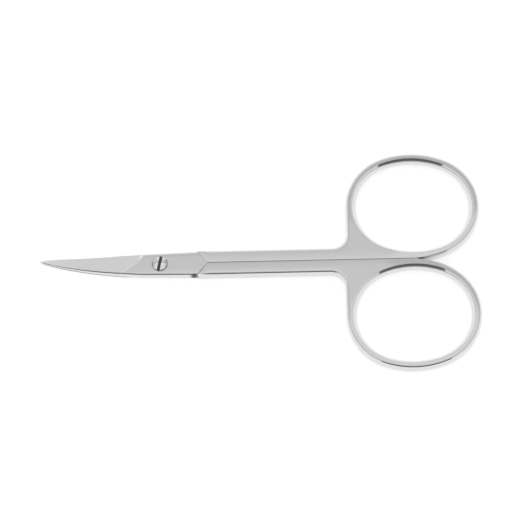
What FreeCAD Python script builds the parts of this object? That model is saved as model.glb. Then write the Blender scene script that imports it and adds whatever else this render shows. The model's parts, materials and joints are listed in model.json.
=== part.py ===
import FreeCAD, Part

import math
import os

# Cuticle scissors: two forged steel halves that cross at a slotted pivot screw.
# Each half is one piece from blade tip to bow. The model is drawn about the pivot
# axis, blades towards -X and bows towards +X, and the two laps meet at z = 0.
# The front half is drawn as it lies. The back half is drawn the same way up and
# then turned over about X. All sizes are in millimetres and degrees.

# Overall
overall_length = 90.0
tip_reach = 24.3
handle_thickness = 3.0
edge_round = 0.55

# Bows: the front half's takes the thumb, and the back half's, a little larger, a finger
thumb_opening_length = 23.25
thumb_opening_width = 19.15
finger_opening_length = 23.5
finger_opening_width = 19.85
finger_bow_setback = 0.2
bow_blend_angle = 69.0
bow_wall = 2.1
bow_inner_chamfer = 0.9
bow_tilt = 2.5
bow_crotch_radius = 3.0

# Shanks and the shoulders that the laps end against
shank_width = 2.76
shank_gap = 0.08
shoulder_apex = 9.6
shoulder_slant = 2.2
shoulder_gap = 0.1
shoulder_bite = 0.3

# Laps
lap_thickness = 1.25
lap_gap = 0.05
lap_width_at_shoulder = 5.54
lap_round = 0.35

# Blades
curve_start = -6.0
curve_radius = 52.0
heel_x = -7.0
edge_at_heel = 2.36
edge_fullness = 0.64
spine_bend_x = -1.0
spine_at_bend = 2.56
spine_fullness = 0.8
tip_thickness = 0.4
tip_width = 0.24
tip_round = 0.08
edge_land = 0.06

# Ground faces of the blades
plunge_x = -11.9
plunge_y = 6.4
plunge_radius = 9.0
plunge_slope = 0.75
hollow_start = -5.0
hollow_end = -22.5
hollow_depth = 0.09
hollow_end_depth = 0.009
hollow_margin = 0.3

# Pivot screw
screw_head_diameter = 3.1
screw_head_side = 0.45
screw_head_dome = 0.35
screw_journal_diameter = 2.0
screw_thread_diameter = 1.8
screw_end_recess = 0.06
screw_end_chamfer = 0.2
slot_width = 0.5
slot_depth = 0.5
slot_turn = 13.0
counterbore_depth = 0.3
counterbore_clearance = 0.06
head_clearance = 0.02
journal_clearance = 0.03
thread_clearance = 0.02

# Reach of the cutting tools beyond what they cut, and the width of a coincidence
beyond = 1.0
tool_top = 9.0
tolerance = 1e-6

# Number of sections that the swept shapes pass through
stock_section_count = 14
bevel_section_count = 9
hollow_section_count = 7

# Derived sizes
bow_reach = overall_length - tip_reach
half_gap = shank_gap / 2
half_handle = handle_thickness / 2
shank_outer = half_gap + shank_width
mating_offset = lap_gap / 2
shoulder_x = shoulder_apex - shoulder_slant
lap_half_width = lap_width_at_shoulder / 2
hole_radius = screw_journal_diameter / 2 + journal_clearance
thread_hole_radius = screw_thread_diameter / 2 + thread_clearance
counterbore_radius = screw_head_diameter / 2 + counterbore_clearance
counterbore_floor = lap_thickness - counterbore_depth


def point(x, y, z=0.0):
    return FreeCAD.Vector(x, y, z)


def prism(wire, low, high):
    """Extrudes a flat wire drawn at z = 0 between two heights."""
    face = Part.Face(wire)
    face.translate(point(0, 0, low))
    return face.extrude(point(0, 0, high - low))


def polygon(corners):
    return Part.makePolygon([*corners, corners[0]])


def arc(centre, radius, start, end):
    """Arc in the XY plane about a centre, between two angles in degrees."""
    angles = [math.radians(a) for a in (start, (start + end) / 2, end)]
    ends = [centre + point(radius * math.cos(a), radius * math.sin(a)) for a in angles]
    return Part.Arc(*ends).toShape()


def line(start, end):
    return Part.LineSegment(start, end).toShape()


def in_plan(first, second):
    """Distance of two points seen along Z."""
    return math.hypot(first.x - second.x, first.y - second.y)


def rim_edges(shape):
    """Edges that lie in the front or the back face of a handle."""
    edges = []
    for edge in shape.Edges:
        heights = [vertex.Z for vertex in edge.Vertexes] + [edge.CenterOfMass.z]
        if all(abs(abs(z) - half_handle) < tolerance for z in heights):
            edges.append(edge)
    return edges


def follows(edge, wire):
    """Whether an edge lies over a wire drawn at z = 0, seen along Z."""
    below = [Part.Vertex(vertex.X, vertex.Y, 0) for vertex in edge.Vertexes]
    return all(wire.distToShape(vertex)[0] < tolerance for vertex in below)


class Bow:
    """Oval finger bow: two end arcs and two side arcs that blend at an angle, turned by a tilt."""

    def __init__(self, opening_length, opening_width, reach):
        half_length = opening_length / 2
        half_width = opening_width / 2
        blend = math.radians(bow_blend_angle)
        step = (half_length - half_width) / (math.sin(blend) + math.cos(blend) - 1)
        end_offset = step * math.cos(blend)
        side_offset = step * math.sin(blend)
        self.end_radius = half_length - end_offset
        self.side_radius = half_width + side_offset
        tilt = math.radians(bow_tilt)
        along = point(math.cos(tilt), -math.sin(tilt))
        across = point(math.sin(tilt), math.cos(tilt))
        x = reach - self.end_radius - bow_wall - end_offset * along.x
        y = half_gap + self.side_radius + bow_wall - side_offset * across.y
        centre = point(x, y)
        self.far_end = centre + along * end_offset
        self.near_end = centre - along * end_offset
        self.low_side = centre + across * side_offset
        self.high_side = centre - across * side_offset

    def side_reach(self):
        """Distance of the bow's outermost side from the gap's centre line."""
        return self.high_side.y + self.side_radius + bow_wall

    def opening(self):
        """Closed wire of the finger opening."""
        turn = bow_blend_angle
        return Part.Wire([
            arc(self.far_end, self.end_radius, -turn - bow_tilt, turn - bow_tilt),
            arc(self.high_side, self.side_radius, turn - bow_tilt, 180 - turn - bow_tilt),
            arc(self.near_end, self.end_radius, 180 - turn - bow_tilt, 180 + turn - bow_tilt),
            arc(self.low_side, self.side_radius, 180 + turn - bow_tilt, 360 - turn - bow_tilt),
        ])

    def outside(self):
        """Outer arcs, from the point that touches the other bow round to the shank side."""
        turn = bow_blend_angle
        end_radius = self.end_radius + bow_wall
        side_radius = self.side_radius + bow_wall
        return [
            arc(self.low_side, side_radius, 270, 360 - turn - bow_tilt),
            arc(self.far_end, end_radius, -turn - bow_tilt, turn - bow_tilt),
            arc(self.high_side, side_radius, turn - bow_tilt, 180 - turn - bow_tilt),
            arc(self.near_end, end_radius, 180 - turn - bow_tilt, 180),
        ]


def handle(bow):
    """Shank and bow of one half, from its shoulder to the far end, with rounded edges."""
    shank_side_x = bow.near_end.x - bow.end_radius - bow_wall
    crotch = point(shank_side_x - bow_crotch_radius, shank_outer + bow_crotch_radius)
    apex = point(shoulder_apex, half_gap)
    shoulder = point(shoulder_x, shank_outer)
    touch = point(bow.low_side.x, half_gap)
    outline = Part.Wire([
        line(apex, touch),
        *bow.outside(),
        line(point(shank_side_x, bow.near_end.y), point(shank_side_x, crotch.y)),
        arc(crotch, bow_crotch_radius, 0, -90),
        line(point(crotch.x, shank_outer), shoulder),
        line(shoulder, apex),
    ])
    blank = prism(outline, -half_handle, half_handle)
    at_shoulder = (apex + shoulder) / 2
    rims = [e for e in rim_edges(blank) if in_plan(e.CenterOfMass, at_shoulder) > edge_round]
    rounded = blank.makeFillet(edge_round, rims)
    opening = bow.opening()
    ring = rounded.cut(prism(opening, -handle_thickness, handle_thickness))
    inner_rims = [e for e in rim_edges(ring) if follows(e, opening)]
    return ring.makeChamfer(bow_inner_chamfer, inner_rims)


def side_offset(x, bend_x, width, fullness):
    """Distance of a side from the centre line: straight along the lap, then full towards the tip."""
    if x > bend_x:
        return width + (lap_half_width - width) * (x - bend_x) / (shoulder_x - bend_x)
    share = max((x + tip_reach) / (bend_x + tip_reach), 0.0)
    return tip_width / 2 + (width - tip_width / 2) * share**fullness


def edge_offset(x):
    """Distance of the cutting edge, or of the lap's side behind it, from the centre line."""
    return side_offset(x, heel_x, edge_at_heel, edge_fullness)


def spine_offset(x):
    """Distance of the spine, or of the lap's other side, from the centre line."""
    return side_offset(x, spine_bend_x, spine_at_bend, spine_fullness)


def towards_tip(x):
    """Share of the way from the heel to the tip."""
    return min(max((heel_x - x) / (heel_x + tip_reach), 0.0), 1.0)


def stock_thickness(x):
    return lap_thickness + (tip_thickness - lap_thickness) * towards_tip(x)


def stock_round(x):
    return lap_round + (tip_round - lap_round) * towards_tip(x)


def round_setback(x):
    """Distance of the middle of a rounded corner from both of the corner's sides."""
    return stock_round(x) * (1 - math.cos(math.radians(45)))


def blade_rise(x):
    """Height of the face between the two blades, which bends up towards the tip."""
    run = min(x - curve_start, 0.0)
    return curve_radius - math.sqrt(curve_radius**2 - run**2)


def spread(first, last, count):
    """Evenly spaced places from first to last."""
    return [first + (last - first) * i / (count - 1) for i in range(count)]


def stock_section(x, bend):
    """Section of the blade and lap stock: flat top, two rounded corners, upright sides."""
    edge, spine, corner = edge_offset(x), -spine_offset(x), stock_round(x)
    top = bend * blade_rise(x) + stock_thickness(x)
    low = bend * blade_rise(x) - beyond
    slack = round_setback(x)
    edge_arc = Part.Arc(
        point(x, edge, top - corner), point(x, edge - slack, top - slack), point(x, edge - corner, top)
    )
    spine_arc = Part.Arc(
        point(x, spine + corner, top), point(x, spine + slack, top - slack), point(x, spine, top - corner)
    )
    return Part.Wire([
        line(point(x, edge, low), point(x, edge, top - corner)),
        edge_arc.toShape(),
        line(point(x, edge - corner, top), point(x, spine + corner, top)),
        spine_arc.toShape(),
        line(point(x, spine, top - corner), point(x, spine, low)),
        line(point(x, spine, low), point(x, edge, low)),
    ])


def lap_limit():
    """Plan region that the lap keeps to: clear of the other half's shoulder, into its own."""
    slant = point(shoulder_slant, shank_width).normalize()
    clear = point(-slant.y, slant.x) * shoulder_gap
    bite = point(slant.y, slant.x) * shoulder_bite
    other_apex = point(shoulder_apex, -half_gap) + clear
    own_apex = point(shoulder_apex, half_gap) + bite
    reach = shank_outer / slant.y
    corners = [
        point(-tip_reach - beyond, -tool_top),
        other_apex + point(-slant.x, -slant.y) * 2 * reach,
        other_apex,
        own_apex,
        own_apex + point(-slant.x, slant.y) * 2 * reach,
        point(-tip_reach - beyond, tool_top),
    ]
    return prism(polygon(corners), -tool_top, tool_top)


def mating_tool(bend):
    """Everything below the face where this half meets the other one, plus half the lap gap."""
    far = -tip_reach - 2 * beyond
    ahead = shoulder_apex + 2 * beyond
    middle = (far + curve_start) / 2
    curved = Part.Arc(*[
        point(x, 0, bend * blade_rise(x) + mating_offset) for x in (far, middle, curve_start)
    ])
    start = point(far, 0, bend * blade_rise(far) + mating_offset)
    bend_end = point(curve_start, 0, mating_offset)
    wire = Part.Wire([
        curved.toShape(),
        line(bend_end, point(ahead, 0, mating_offset)),
        line(point(ahead, 0, mating_offset), point(ahead, 0, -tool_top)),
        line(point(ahead, 0, -tool_top), point(far, 0, -tool_top)),
        line(point(far, 0, -tool_top), start),
    ])
    face = Part.Face(wire)
    face.translate(point(0, -tool_top, 0))
    return face.extrude(point(0, 2 * tool_top, 0))


def bevel_section(x, bend):
    """Space above the ground bevel, which falls from the rounded spine to the cutting edge."""
    edge, spine = edge_offset(x), -spine_offset(x)
    slack = round_setback(x)
    base = bend * blade_rise(x)
    high = base + stock_thickness(x) - slack
    low = base + mating_offset + edge_land
    fall = (low - high) / (edge - spine - slack)
    spine_side = spine - beyond
    edge_side = edge + beyond
    return polygon([
        point(x, spine_side, high + fall * (spine_side - spine - slack)),
        point(x, edge_side, high + fall * (edge_side - spine - slack)),
        point(x, edge_side, tool_top),
        point(x, spine_side, tool_top),
    ])


def bevel_tool(bend):
    """What grinding the outer bevel removes, with a sloping round run-out at the plunge."""
    places = spread(plunge_x + plunge_radius + beyond, -tip_reach, bevel_section_count)
    places.append(-tip_reach - beyond)
    above = Part.makeLoft([bevel_section(x, bend) for x in places], True, False)
    low_radius = plunge_radius - plunge_slope * (lap_thickness + tool_top)
    high_radius = plunge_radius + plunge_slope * (tool_top - lap_thickness)
    wheel = Part.makeCone(
        low_radius, high_radius, 2 * tool_top, point(plunge_x, plunge_y, -tool_top)
    )
    length = plunge_x + tip_reach + 2 * beyond
    width = 2 * (plunge_radius + tool_top)
    rest = Part.makeBox(
        length, width, 2 * tool_top, point(plunge_x - length, plunge_y - width / 2, -tool_top)
    )
    return above.common(wheel.fuse(rest))


def hollow_section(x, bend):
    """Shallow arc that is ground out of the inner face between its two rims."""
    share = (x - hollow_start) / (hollow_end - hollow_start)
    depth = hollow_depth * (1 - (2 * share - 1) ** 2) + hollow_end_depth
    narrow = 1 - share * share
    edge = (edge_offset(x) - hollow_margin) * narrow + tip_width / 2
    spine = -(spine_offset(x) - hollow_margin) * narrow - tip_width / 2
    face = bend * blade_rise(x) + mating_offset
    top = Part.Arc(
        point(x, spine, face), point(x, (edge + spine) / 2, face + depth), point(x, edge, face)
    )
    return Part.Wire([
        top.toShape(),
        line(point(x, edge, face), point(x, edge, face - beyond)),
        line(point(x, edge, face - beyond), point(x, spine, face - beyond)),
        line(point(x, spine, face - beyond), point(x, spine, face)),
    ])


def blade_and_lap(bend):
    """Curved blade and flat lap of one half, lying above the mating face."""
    places = spread(shoulder_apex + beyond, -tip_reach, stock_section_count)
    stock = Part.makeLoft([stock_section(x, bend) for x in places], True, False)
    hollow_places = spread(hollow_start, hollow_end, hollow_section_count)
    hollow = Part.makeLoft([hollow_section(x, bend) for x in hollow_places], True, False)
    stock = stock.common(lap_limit())
    stock = stock.cut(mating_tool(bend))
    stock = stock.cut(bevel_tool(bend))
    return stock.cut(hollow)


def round_hole(radius, low, high):
    return Part.makeCylinder(radius, high - low, point(0, 0, low))


def front_half():
    """Upper half: its lap carries the screw head, and its blade curls towards its face."""
    half = handle(thumb_bow).fuse(blade_and_lap(1))
    half = half.cut(round_hole(hole_radius, -beyond, tool_top))
    return half.cut(round_hole(counterbore_radius, counterbore_floor, tool_top))


def back_half():
    """Lower half: its lap takes the screw thread, and its blade curls away from its face."""
    half = handle(finger_bow).fuse(blade_and_lap(-1))
    half = half.cut(round_hole(thread_hole_radius, -beyond, tool_top))
    half.rotate(point(0, 0, 0), point(1, 0, 0), 180)
    return half


def pivot_screw():
    """Slotted screw: domed head, plain journal in the front lap, thread in the back lap."""
    seat = counterbore_floor + head_clearance
    side_top = seat + screw_head_side
    crown = side_top + screw_head_dome
    head = screw_head_diameter / 2
    journal = screw_journal_diameter / 2
    thread = screw_thread_diameter / 2
    end = -lap_thickness + screw_end_recess
    sphere = (head**2 + screw_head_dome**2) / (2 * screw_head_dome)
    half_turn = math.asin(head / sphere) / 2
    dome_mid = point(sphere * math.sin(half_turn), 0, crown - sphere * (1 - math.cos(half_turn)))
    dome = Part.Arc(point(head, 0, side_top), dome_mid, point(0, 0, crown)).toShape()
    steps = [
        point(0, 0, end),
        point(thread - screw_end_chamfer, 0, end),
        point(thread, 0, end + screw_end_chamfer),
        point(thread, 0, 0),
        point(journal, 0, 0),
        point(journal, 0, seat),
        point(head, 0, seat),
        point(head, 0, side_top),
    ]
    sides = [line(a, b) for a, b in zip(steps, steps[1:])]
    profile = Part.Face(Part.Wire([*sides, dome, line(point(0, 0, crown), steps[0])]))
    screw = profile.revolve(point(0, 0, 0), point(0, 0, 1), 360)
    length = 2 * screw_head_diameter
    slot = Part.makeBox(
        slot_width, length, slot_depth, point(-slot_width / 2, -length / 2, crown - slot_depth)
    )
    slot.rotate(point(0, 0, 0), point(0, 0, 1), -slot_turn)
    return screw.cut(slot)


def write(name, shape):
    """Stands the piece in the part's frame, on z = 0 and centred in plan, and saves it."""
    along = (tip_reach - bow_reach) / 2
    across = (finger_bow.side_reach() - thumb_bow.side_reach()) / 2
    shape.translate(point(along, across, half_handle))
    shape.exportStep(os.path.join("parts", name + ".step"))


thumb_bow = Bow(thumb_opening_length, thumb_opening_width, bow_reach)
finger_bow = Bow(finger_opening_length, finger_opening_width, bow_reach - finger_bow_setback)

os.makedirs("parts", exist_ok=True)
write("front_half", front_half())
write("back_half", back_half())
write("pivot_screw", pivot_screw())
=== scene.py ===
# %% [markdown]
# # Cuticle scissors
# This lesson dresses a packed set of solids: two forged steel halves and the screw that they
# turn on. Each solid is replaced by a finer mesh of the same form, and gets a finish of its own.
# The frame comes first, because every later piece is placed in it and rides on its bodies.

import json
import math

import bmesh
import bpy
import numpy as np
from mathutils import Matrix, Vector
from mathutils.geometry import delaunay_2d_cdt

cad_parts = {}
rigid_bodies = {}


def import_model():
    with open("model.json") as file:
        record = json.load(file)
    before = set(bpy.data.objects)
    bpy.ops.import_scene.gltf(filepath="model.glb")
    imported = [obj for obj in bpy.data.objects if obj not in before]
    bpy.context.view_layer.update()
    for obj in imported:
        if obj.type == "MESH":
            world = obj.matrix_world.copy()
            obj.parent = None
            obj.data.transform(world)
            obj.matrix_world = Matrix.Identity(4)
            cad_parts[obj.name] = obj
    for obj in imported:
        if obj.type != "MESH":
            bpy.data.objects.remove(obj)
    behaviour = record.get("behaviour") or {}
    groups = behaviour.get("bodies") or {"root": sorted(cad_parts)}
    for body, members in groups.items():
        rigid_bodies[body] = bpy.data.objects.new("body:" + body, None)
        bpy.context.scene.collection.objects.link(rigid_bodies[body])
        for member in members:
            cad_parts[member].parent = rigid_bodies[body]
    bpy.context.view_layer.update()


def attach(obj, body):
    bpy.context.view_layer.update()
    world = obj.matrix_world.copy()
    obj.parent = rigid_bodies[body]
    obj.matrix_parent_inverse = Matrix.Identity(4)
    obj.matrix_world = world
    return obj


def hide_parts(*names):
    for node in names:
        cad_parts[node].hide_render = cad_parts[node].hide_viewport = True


for leftover in list(bpy.data.objects):
    bpy.data.objects.remove(leftover)
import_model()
scene = bpy.context.scene
scene.view_settings.view_transform = "Standard"

# %% [markdown]
# ## Camera
# The scissors lie flat and are seen from above, a little from the front. A long lens from far
# away keeps both bows the same size. The lens follows from the width that the picture shows at
# the distance of the scissors, so the camera can be moved without the picture growing.

# %% Camera
view_width = 0.10716
view_distance = 1.2
view_elevation = math.radians(68.0)
view_azimuth = math.radians(-1.3)
view_target = Vector((0.0002, 0.00075, 0.0015))
camera_data = bpy.data.cameras.new("view")
camera_data.sensor_width = 36.0
camera_data.lens = camera_data.sensor_width * view_distance / view_width
camera_data.clip_end = 20.0
camera = bpy.data.objects.new("view", camera_data)
scene.collection.objects.link(camera)
towards_camera = Vector((
    math.sin(view_azimuth) * math.cos(view_elevation),
    -math.cos(view_azimuth) * math.cos(view_elevation),
    math.sin(view_elevation),
))
camera.location = view_target + towards_camera * view_distance
camera.rotation_euler = (-towards_camera).to_track_quat("-Z", "Y").to_euler()
scene.camera = camera
print("lens", round(camera_data.lens, 1), "mm")

# %% [markdown]
# ## Node helpers
# Shader trees and geometry trees are both made of nodes and links. Two small helpers keep the
# cells below short: one adds a node and sets its values, and one does arithmetic with sockets,
# so a rule can be read almost as it would be written on paper.

# %% Node helpers


def node(tree, kind, inputs=None, **settings):
    """Adds a node, sets its properties, and fills its inputs with values or links."""
    made = tree.nodes.new(kind)
    for name, value in settings.items():
        setattr(made, name, value)
    for name, value in (inputs or {}).items():
        if isinstance(value, bpy.types.NodeSocket):
            tree.links.new(value, made.inputs[name])
        else:
            made.inputs[name].default_value = value
    return made


def maths(tree, operation, *values, clamp=False):
    """One arithmetic step on sockets or plain numbers; gives the socket of its result."""
    made = node(tree, "ShaderNodeMath", dict(enumerate(values)), operation=operation, use_clamp=clamp)
    return made.outputs[0]


def new_input(tree, name, kind, value=None):
    """Declares a named input of a node tree, with a value to start from if one is given."""
    made = tree.interface.new_socket(name, in_out="INPUT", socket_type=kind)
    if value is not None:
        made.default_value = value
    return made


def new_output(tree, name, kind):
    """Declares a named output of a node tree."""
    return tree.interface.new_socket(name, in_out="OUTPUT", socket_type=kind)


print("node helpers ready")

# %% [markdown]
# ## Floor and light
# The scissors lie on a plain white sweep. Polished steel shows what surrounds it, so the light is
# a wide soft panel overhead in a grey room, with four pale walls and one dark flag in front, as a
# photographer of metal sets up. The walls and the flag are seen by reflections only. The floor
# adds a little light of its own, so that it reads as white and still keeps a soft shadow.

# %% Floor


def flat_sheet(name, corners):
    """A plane of four corners, linked to the scene."""
    mesh = bpy.data.meshes.new(name)
    mesh.from_pydata(corners, [], [(0, 1, 2, 3)])
    sheet = bpy.data.objects.new(name, mesh)
    scene.collection.objects.link(sheet)
    return sheet


def plain_material(name):
    """A material with an empty tree and its output node."""
    material = bpy.data.materials.new(name)
    material.use_nodes = True
    material.node_tree.nodes.clear()
    return material, node(material.node_tree, "ShaderNodeOutputMaterial")


floor_reach = 6.0
floor_colour = (0.74, 0.74, 0.74, 1.0)
floor_lift = 0.56
floor = flat_sheet("floor", [
    (-floor_reach, -floor_reach, 0), (floor_reach, -floor_reach, 0),
    (floor_reach, floor_reach, 0), (-floor_reach, floor_reach, 0),
])
floor_finish, floor_out = plain_material("white_floor")
tree = floor_finish.node_tree
path = node(tree, "ShaderNodeLightPath")
seen = maths(tree, "MAXIMUM", path.outputs["Is Camera Ray"], path.outputs["Is Glossy Ray"])
seen = maths(tree, "MAXIMUM", seen, path.outputs["Is Transmission Ray"])
lift = node(tree, "ShaderNodeEmission", {"Strength": maths(tree, "MULTIPLY", seen, floor_lift)})
matt = node(tree, "ShaderNodeBsdfDiffuse", {"Color": floor_colour})
both = node(tree, "ShaderNodeAddShader", {0: matt.outputs[0], 1: lift.outputs[0]})
tree.links.new(both.outputs[0], floor_out.inputs["Surface"])
floor.data.materials.append(floor_finish)
print("floor", 2 * floor_reach, "m wide")

# %% Light
room_grey = 0.60
world = bpy.data.worlds.new("room")
world.use_nodes = True
world.node_tree.nodes["Background"].inputs["Color"].default_value = (room_grey,) * 3 + (1.0,)
scene.world = world

panel_height = 1.5
panel_size = (2.4, 1.5)
panel_centre_y = -0.144
panel_level = 0.26
panel_data = bpy.data.lights.new("panel", "AREA")
panel_data.shape = "RECTANGLE"
panel_data.size, panel_data.size_y = panel_size
panel_data.energy = panel_level * math.pi * panel_size[0] * panel_size[1]
panel = bpy.data.objects.new("panel", panel_data)
panel.location = (0.0, panel_centre_y, panel_height)
scene.collection.objects.link(panel)
print("panel", panel_size, "m")

# %% Cards that the steel reflects


def store(mesh, name, values):
    """Stores a number at each point of a mesh."""
    mesh.attributes.new(name, "FLOAT", "POINT").data.foreach_set("value", values)


def reflected_only(card, material):
    """Gives a card its material and lets nothing but reflections see it."""
    card.data.materials.append(material)
    card.visible_camera = False
    card.visible_diffuse = False
    card.visible_shadow = False


wall_far = 1.2
foot_level = 1.0
wall_finish, wall_out = plain_material("pale_wall")
tree = wall_finish.node_tree
level = node(tree, "ShaderNodeAttribute", attribute_name="level").outputs["Fac"]
pale = node(tree, "ShaderNodeEmission", {"Strength": level})
tree.links.new(pale.outputs[0], wall_out.inputs["Surface"])
corners = [(-wall_far, -wall_far), (wall_far, -wall_far), (wall_far, wall_far), (-wall_far, wall_far)]
low_wall, back_wall = (0.85, room_grey), (1.45, 0.78)
for number, (name, (top, top_level)) in enumerate((
    ("front", low_wall), ("right", low_wall), ("back", back_wall), ("left", low_wall),
)):
    (x1, y1), (x2, y2) = corners[number], corners[(number + 1) % 4]
    wall = flat_sheet(name + "_wall", [(x1, y1, 0.0), (x2, y2, 0.0), (x2, y2, top), (x1, y1, top)])
    store(wall.data, "level", [foot_level, foot_level, top_level, top_level])
    reflected_only(wall, wall_finish)

flag_y = -0.5
flag_top = 0.36
flag_foot = 0.002
flag_left, flag_right = -0.28, 0.42
flag_colour = (0.13, 0.13, 0.13, 1.0)
flag_finish, flag_out = plain_material("black_flag")
black = node(flag_finish.node_tree, "ShaderNodeEmission", {"Color": flag_colour})
flag_finish.node_tree.links.new(black.outputs[0], flag_out.inputs["Surface"])
flag = flat_sheet("flag", [
    (flag_left, flag_y, flag_foot), (flag_right, flag_y, flag_foot),
    (flag_right, flag_y, flag_top), (flag_left, flag_y, flag_top),
])
reflected_only(flag, flag_finish)
print("walls", wall_far, "m away, flag", flag_top, "m high")

# %% [markdown]
# ## Outline of a handle
# A shank and its bow are one forging, so one closed outline runs round both: along the gap to the
# other half, round the oval bow, down into the crotch, and back along the shank to the shoulder.
# The oval is made of four arcs that meet at one angle, as a draughtsman would set it out. Sizes
# here are in millimetres from the pivot, and are turned into the frame's metres at the end.

# %% Sizes that the outline follows
tip_reach = 24.3
bow_reach = 65.7
handle_thickness = 3.0
gap = 0.01
shank_outer = 2.8
shoulder_apex = 9.6
shoulder_slant = 2.2
bow_wall = 2.1
bow_tilt = 2.5
blend_angle = 69.0
crotch_radius = 3.0
shoulder_share = 0.9
ease_length = 1.5
apex = np.array([shoulder_apex, gap])
full_corner = np.array([shoulder_apex - shoulder_slant, shank_outer])
shoulder = apex + (full_corner - apex) * shoulder_share
eased = np.array([shoulder[0] + ease_length, shank_outer])


def bow_arcs(opening_length, opening_width, reach, wall):
    """The four arcs of a bow, below, at the far end, above and at the near end."""
    blend, tilt = math.radians(blend_angle), math.radians(bow_tilt)
    step = (opening_length - opening_width) / 2 / (math.sin(blend) + math.cos(blend) - 1)
    end_offset, side_offset = step * math.cos(blend), step * math.sin(blend)
    end_radius, side_radius = opening_length / 2 - end_offset, opening_width / 2 + side_offset
    along = np.array([math.cos(tilt), -math.sin(tilt)])
    across = np.array([math.sin(tilt), math.cos(tilt)])
    centre = np.array([
        reach - end_radius - bow_wall - end_offset * along[0],
        gap + side_radius + bow_wall - side_offset * across[1],
    ])
    side_radius, end_radius, turn = side_radius + wall, end_radius + wall, blend_angle
    return [
        (centre + across * side_offset, side_radius, 180 + turn - bow_tilt, 360 - turn - bow_tilt),
        (centre + along * end_offset, end_radius, -turn - bow_tilt, turn - bow_tilt),
        (centre - across * side_offset, side_radius, turn - bow_tilt, 180 - turn - bow_tilt),
        (centre - along * end_offset, end_radius, 180 - turn - bow_tilt, 180 + turn - bow_tilt),
    ]


thumb_bow = (23.25, 19.15, bow_reach)
finger_bow = (23.5, 19.85, bow_reach - 0.2)
above_arcs = [bow_arcs(*bow, bow_wall)[2] for bow in (thumb_bow, finger_bow)]
bow_tops = [arc[0][1] + arc[1] for arc in above_arcs]
pivot_place = np.array([
    (tip_reach - bow_reach) / 2, (bow_tops[1] - bow_tops[0]) / 2, handle_thickness / 2,
])
print("bows reach", np.round(bow_tops, 2), "mm to the sides, pivot at", pivot_place.round(3))

# %% Outline and opening as rows of points
point_step = 0.24


def run(start, end, step=point_step):
    """Points along a straight run, without its last one."""
    start, end = np.asarray(start, float), np.asarray(end, float)
    count = max(int(np.linalg.norm(end - start) / step), 1)
    return start + (end - start) * (np.arange(count) / count)[:, None]


def bend(centre, radius, first, last, step=point_step):
    """Points along an arc between two angles in degrees, without its last one."""
    count = max(int(abs(math.radians(last - first)) * radius / step), 1)
    angles = np.radians(first + (last - first) * np.arange(count) / count)
    return centre + radius * np.column_stack([np.cos(angles), np.sin(angles)])


def outline_of(bow):
    """Outline of a shank and its bow, and the place where the bow touches the other one."""
    below, far, above, near = bow_arcs(*bow, bow_wall)
    shank_side = near[0][0] - near[1]
    crotch = np.array([shank_side - crotch_radius, shank_outer + crotch_radius])
    touch = np.array([below[0][0], gap])
    return np.vstack([
        run(apex, touch),
        bend(below[0], below[1], 270, below[3]),
        bend(*far),
        bend(*above),
        bend(near[0], near[1], near[2], 180),
        run((shank_side, near[0][1]), (shank_side, crotch[1])),
        bend(crotch, crotch_radius, 0, -90),
        run((crotch[0], shank_outer), eased),
        run(eased, shoulder),
        run(shoulder, apex),
    ]), touch


def opening_of(bow):
    """Outline of the finger opening."""
    return np.vstack([bend(*arc) for arc in bow_arcs(*bow, 0.0)])


print("outline", len(outline_of(thumb_bow)[0]), "points, opening", len(opening_of(thumb_bow)), "points")

# %% [markdown]
# ## Plan of a handle
# The handle's faces are flat in the middle, and round over towards every edge. A plan that already
# has rows of points at the right distances from the edges lets a simple rule lift it into shape.
# The rows lie closer together near the edge, where the round is steep. The space that is left is
# filled with triangles, and each point keeps its distances from the edge and from the opening.

# %% Rounding along the outline
side_round = 0.85
gap_round = 0.04
shoulder_round = 0.18
bow_round = 0.95
gap_fade = 8.0
corner_clear = 0.4
shoulder_fade = 0.42


def inward(loop):
    """Direction into the metal at each point of a closed loop, longer at sharp corners."""
    ahead = np.roll(loop, -1, 0) - loop
    ahead /= np.linalg.norm(ahead, axis=1)[:, None]
    normal = np.column_stack([-ahead[:, 1], ahead[:, 0]])
    before = np.roll(normal, 1, 0)
    return (normal + before) / (1 + (normal * before).sum(1))[:, None]


def near_line(points, start, end):
    """Distance of points from a straight run."""
    start, end = np.asarray(start, float), np.asarray(end, float)
    share = np.clip((points - start) @ (end - start) / ((end - start) @ (end - start)), 0, 1)
    return np.linalg.norm(points - start - share[:, None] * (end - start), axis=1)


def rounded_outline(bow):
    """Outline of a handle without points too near to its corners, and the rounding along it."""
    outline, touch = outline_of(bow)
    at_corner = np.minimum(*[np.linalg.norm(outline - corner, axis=1) for corner in (apex, shoulder)])
    outline = outline[(at_corner < 1e-6) | (at_corner > corner_clear)]
    from_gap = near_line(outline, apex, touch)
    rounding = gap_round + (side_round - gap_round) * np.clip(from_gap / gap_fade, 0, 1)
    rounding[outline[:, 1] > shoulder[1] - 0.01] = side_round
    from_shoulder = near_line(outline, apex, shoulder)
    return outline, np.minimum(rounding, np.maximum(shoulder_fade * from_shoulder, shoulder_round))


rounding = rounded_outline(thumb_bow)[1]
print("rounding from", rounding.min().round(2), "to", rounding.max().round(2), "mm")

# %% Filling between the rows of points


def quarter(rows):
    """Shares of the way in from an edge at which a quarter round is drawn."""
    return 1 - np.cos(np.linspace(0, math.pi / 2, rows))


def inside(points, loop):
    """Whether points lie inside a closed loop."""
    x, y = points[:, 0, None], points[:, 1, None]
    x1, y1 = loop.T
    x2, y2 = np.roll(loop, -1, 0).T
    crosses = ((y1 > y) != (y2 > y)) & (x < (x2 - x1) * (y - y1) / (y2 - y1 + 1e-30) + x1)
    return crosses.sum(1) % 2 == 1


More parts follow.
